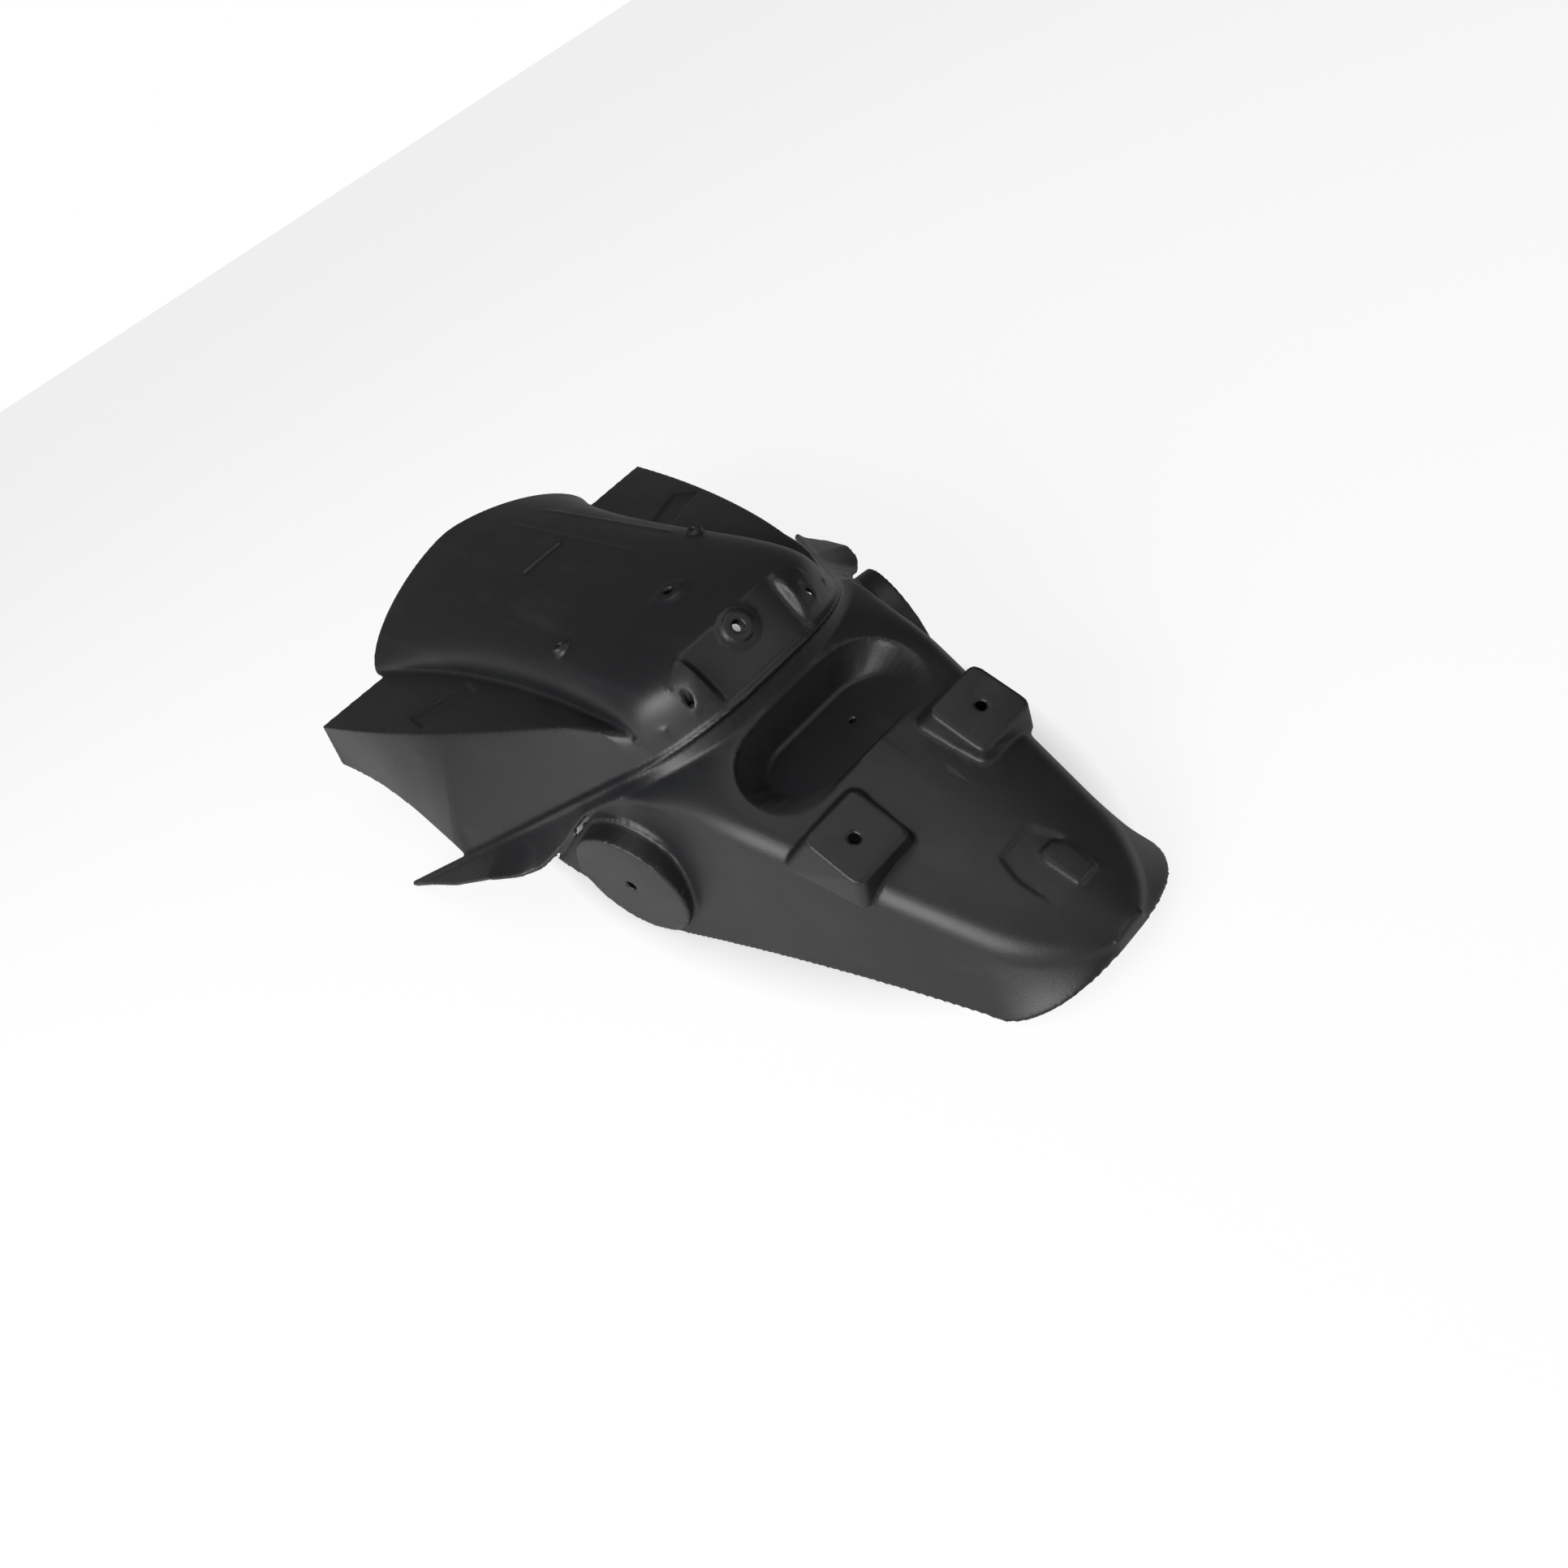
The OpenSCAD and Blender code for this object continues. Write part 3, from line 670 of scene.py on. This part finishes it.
def moulded_grain_group():
    """Fine leather-like mould grain: height for a Bump node, and a faint spread of roughness."""
    tree, inp, out = new_group(
        "moulded_grain",
        [("Vector", "NodeSocketVector", None), ("Grains per metre", "NodeSocketFloat", 900.0),
         ("Roughness", "NodeSocketFloat", 0.4)],
        [("Height", "NodeSocketFloat"), ("Roughness", "NodeSocketFloat")])
    link = tree.links.new
    cells = add(tree, "ShaderNodeTexVoronoi", feature="SMOOTH_F1")
    link(inp.outputs["Vector"], cells.inputs["Vector"])
    link(inp.outputs["Grains per metre"], cells.inputs["Scale"])
    fine = add(tree, "ShaderNodeTexNoise", Detail=3.0)
    double = add(tree, "ShaderNodeMath", operation="MULTIPLY")
    double.inputs[1].default_value = 1.7
    link(inp.outputs["Grains per metre"], double.inputs[0])
    link(inp.outputs["Vector"], fine.inputs["Vector"])
    link(double.outputs[0], fine.inputs["Scale"])
    height = add(tree, "ShaderNodeMath", operation="MULTIPLY_ADD")
    height.inputs[1].default_value = 0.6
    link(fine.outputs["Fac"], height.inputs[0])
    link(cells.outputs["Distance"], height.inputs[2])
    link(height.outputs[0], out.inputs["Height"])
    patch = add(tree, "ShaderNodeTexNoise", Scale=14.0, Detail=4.0)
    link(inp.outputs["Vector"], patch.inputs["Vector"])
    spread = add(tree, "ShaderNodeMapRange")
    spread.inputs["From Min"].default_value, spread.inputs["From Max"].default_value = 0.3, 0.7
    spread.inputs["To Min"].default_value, spread.inputs["To Max"].default_value = -0.04, 0.05
    link(patch.outputs["Fac"], spread.inputs["Value"])
    total = add(tree, "ShaderNodeMath", operation="ADD")
    link(inp.outputs["Roughness"], total.inputs[0])
    link(spread.outputs[0], total.inputs[1])
    link(total.outputs[0], out.inputs["Roughness"])
    return tree


def rubbed_group():
    """Colour of the plastic with faint rubbed streaks in it."""
    tree, inp, out = new_group(
        "rubbed_places",
        [("Vector", "NodeSocketVector", None), ("Amount", "NodeSocketFloat", 0.5),
         ("Plastic", "NodeSocketColor", None), ("Scuffs", "NodeSocketColor", None)],
        [("Color", "NodeSocketColor")])
    link = tree.links.new
    stretch = add(tree, "ShaderNodeMapping")
    stretch.inputs["Scale"].default_value = (60, 9, 60)
    link(inp.outputs["Vector"], stretch.inputs["Vector"])
    streaks = add(tree, "ShaderNodeTexNoise", Scale=1.0, Detail=6.0)
    link(stretch.outputs[0], streaks.inputs["Vector"])
    sharp = add(tree, "ShaderNodeMapRange")
    sharp.inputs["From Min"].default_value, sharp.inputs["From Max"].default_value = 0.55, 0.8
    link(streaks.outputs["Fac"], sharp.inputs["Value"])
    patch = add(tree, "ShaderNodeTexNoise", Scale=6.0, Detail=2.0)
    link(inp.outputs["Vector"], patch.inputs["Vector"])
    both = add(tree, "ShaderNodeMath", operation="MULTIPLY")
    link(sharp.outputs[0], both.inputs[0])
    link(patch.outputs["Fac"], both.inputs[1])
    last = add(tree, "ShaderNodeMath", operation="MULTIPLY")
    link(both.outputs[0], last.inputs[0])
    link(inp.outputs["Amount"], last.inputs[1])
    colour = add(tree, "ShaderNodeMix", data_type="RGBA")
    link(last.outputs[0], colour.inputs[0])
    link(inp.outputs["Plastic"], colour.inputs[6])
    link(inp.outputs["Scuffs"], colour.inputs[7])
    link(colour.outputs[2], out.inputs["Color"])
    return tree


def plastic_material(look):
    mat = bpy.data.materials.new("black_plastic")
    mat.use_nodes = True
    tree = mat.node_tree
    link = tree.links.new
    shader = tree.nodes["Principled BSDF"]
    place = add(tree, "ShaderNodeTexCoord")
    grain = add(tree, "ShaderNodeGroup", node_tree=moulded_grain_group())
    grain.inputs["Roughness"].default_value = look.roughness
    rubbed = add(tree, "ShaderNodeGroup", node_tree=rubbed_group())
    rubbed.inputs["Amount"].default_value = 0.7
    link(place.outputs["Object"], grain.inputs["Vector"])
    link(place.outputs["Object"], rubbed.inputs["Vector"])
    rubbed.inputs["Plastic"].default_value = (*look.colour, 1)
    rubbed.inputs["Scuffs"].default_value = (*look.scuff, 1)
    link(rubbed.outputs["Color"], shader.inputs["Base Color"])
    link(grain.outputs["Roughness"], shader.inputs["Roughness"])
    bump_node = add(tree, "ShaderNodeBump", Strength=0.12, Distance=0.0003)
    link(grain.outputs["Height"], bump_node.inputs["Height"])
    link(bump_node.outputs[0], shader.inputs["Normal"])
    return mat


# ---- operators --------------------------------------------------------------------------------------


class FENDER_OT_skin(bpy.types.Operator):
    """Build the moulded skin of the fender with its raised and sunk parts"""
    bl_idname = "fender.skin"
    bl_label = "Moulded skin"

    def execute(self, context):
        skin = moulded_skin(context.scene.fender_shape)
        skin.data.materials.append(plastic_material(context.scene.fender_look))
        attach(skin, "root")
        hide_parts("rear_fender")
        return {"FINISHED"}


FLOOR_HALF, SKY_LIGHT, LENS, SENSOR = 6.0, 0.12, 24.224, 36
CAMERA_PLACE = (-0.19414, -0.54234, 0.42522)
CAMERA_RIGHT = (0.6782, -0.6107, -0.4088)
CAMERA_FORWARD = (0.2819, 0.7299, -0.6227)
# name, place, aim, width and height, power
LIGHTS = [
    ("left_softbox", (-1.7, -0.5, 0.9), (0, -0.1, 0.08), (1.6, 1.2), 44),
    ("top_softbox", (0.2, -0.3, 2.0), (0, 0, 0), (1.6, 1.6), 9),
    ("rear_softbox", (0.6, -1.9, 1.0), (0, -0.1, 0.05), (1.2, 0.8), 5),
]


def area_light(name, place, aim, size, power):
    data = bpy.data.lights.new(name, "AREA")
    data.shape, data.size, data.size_y, data.energy = "RECTANGLE", size[0], size[1], power
    obj = bpy.data.objects.new(name, data)
    obj.location = place
    obj.rotation_euler = (Vector(aim) - Vector(place)).to_track_quat("-Z", "Y").to_euler()
    bpy.context.scene.collection.objects.link(obj)
    return obj


def floor_material(look):
    mat = bpy.data.materials.new("pale_floor")
    mat.use_nodes = True
    tree = mat.node_tree
    link = tree.links.new
    shader = tree.nodes["Principled BSDF"]
    shader.inputs["Base Color"].default_value = (*look.floor, 1)
    shader.inputs["Roughness"].default_value = 0.9
    shader.inputs["Specular IOR Level"].default_value = 0.0
    rays = add(tree, "ShaderNodeLightPath")
    glow = add(tree, "ShaderNodeEmission", Strength=1.05)
    mixer = add(tree, "ShaderNodeMixShader")
    part = add(tree, "ShaderNodeMath", operation="MULTIPLY")
    # Painted shadow under the part: the floor's camera-ray glow fades out inside an ellipse around the part's
    # footprint (clear maps 0.75 to 1.0 of the distance to 0 to 0.8 of the glow), so the floor beneath the
    # part, and seen through its holes, stays darker.
    place = add(tree, "ShaderNodeTexCoord")
    painted_shadow_shape = add(tree, "ShaderNodeMapping")
    painted_shadow_shape.inputs["Scale"].default_value = (1 / 0.14, 1 / 0.3, 0)
    painted_shadow_reach = add(tree, "ShaderNodeVectorMath", operation="LENGTH")
    clear = add(tree, "ShaderNodeMapRange")
    clear.inputs["From Min"].default_value, clear.inputs["From Max"].default_value = 0.75, 1.0
    clear.inputs["To Max"].default_value = 0.8
    link(place.outputs["Object"], painted_shadow_shape.inputs["Vector"])
    link(painted_shadow_shape.outputs[0], painted_shadow_reach.inputs[0])
    link(painted_shadow_reach.outputs["Value"], clear.inputs["Value"])
    link(rays.outputs["Is Camera Ray"], part.inputs[0])
    link(clear.outputs[0], part.inputs[1])
    link(part.outputs[0], mixer.inputs[0])
    link(shader.outputs[0], mixer.inputs[1])
    link(glow.outputs[0], mixer.inputs[2])
    link(mixer.outputs[0], tree.nodes["Material Output"].inputs["Surface"])
    return mat


class FENDER_OT_stage(bpy.types.Operator):
    """Set up the pale floor, soft studio light and the camera"""
    bl_idname = "fender.stage"
    bl_label = "Stage"

    def execute(self, context):
        scene = context.scene
        bm = bmesh.new()
        bmesh.ops.create_grid(bm, x_segments=1, y_segments=1, size=FLOOR_HALF)
        floor = make_object("floor", bm)
        floor.data.materials.append(floor_material(scene.fender_look))
        world = bpy.data.worlds.new("studio")
        scene.world = world
        world.use_nodes = True
        tree = world.node_tree
        sky = tree.nodes["Background"]
        sky.inputs["Color"].default_value = (1, 1, 1, 1)
        rays = add(tree, "ShaderNodeLightPath")
        level = add(tree, "ShaderNodeMapRange")
        level.inputs["To Min"].default_value, level.inputs["To Max"].default_value = SKY_LIGHT, 1.0
        tree.links.new(rays.outputs["Is Camera Ray"], level.inputs["Value"])
        tree.links.new(level.outputs[0], sky.inputs["Strength"])
        for light in LIGHTS:
            area_light(*light)
        data = bpy.data.cameras.new("camera")
        data.lens, data.sensor_width = LENS, SENSOR
        camera = bpy.data.objects.new("camera", data)
        right = Vector(CAMERA_RIGHT).normalized()
        back = -Vector(CAMERA_FORWARD).normalized()
        turn = Matrix((right, back.cross(right), back)).transposed()
        camera.matrix_world = Matrix.Translation(CAMERA_PLACE) @ turn.to_4x4()
        scene.collection.objects.link(camera)
        scene.camera = camera
        scene.view_settings.view_transform = "Standard"
        return {"FINISHED"}


class FENDER_PT_panel(bpy.types.Panel):
    bl_idname = "FENDER_PT_panel"
    bl_label = "Fender"
    bl_space_type = "VIEW_3D"
    bl_region_type = "UI"
    bl_category = "Fender"

    def draw(self, context):
        layout = self.layout
        for group in (context.scene.fender_shape, context.scene.fender_look):
            for key in group.bl_rna.properties.keys():
                if key not in ("rna_type", "name"):
                    layout.prop(group, key)
        for operator in OPERATORS:
            layout.operator(operator.bl_idname)


OPERATORS = (FENDER_OT_skin, FENDER_OT_stage)
CLASSES = (FenderShape, FenderLook, *OPERATORS, FENDER_PT_panel)


def register():
    for cls in CLASSES:
        bpy.utils.register_class(cls)
    bpy.types.Scene.fender_shape = bpy.props.PointerProperty(type=FenderShape)
    bpy.types.Scene.fender_look = bpy.props.PointerProperty(type=FenderLook)


def unregister():
    del bpy.types.Scene.fender_look
    del bpy.types.Scene.fender_shape
    for cls in reversed(CLASSES):
        bpy.utils.unregister_class(cls)


def main():
    register()
    bpy.ops.fender.skin()
    bpy.ops.fender.stage()


if __name__ == "__main__":
    main()
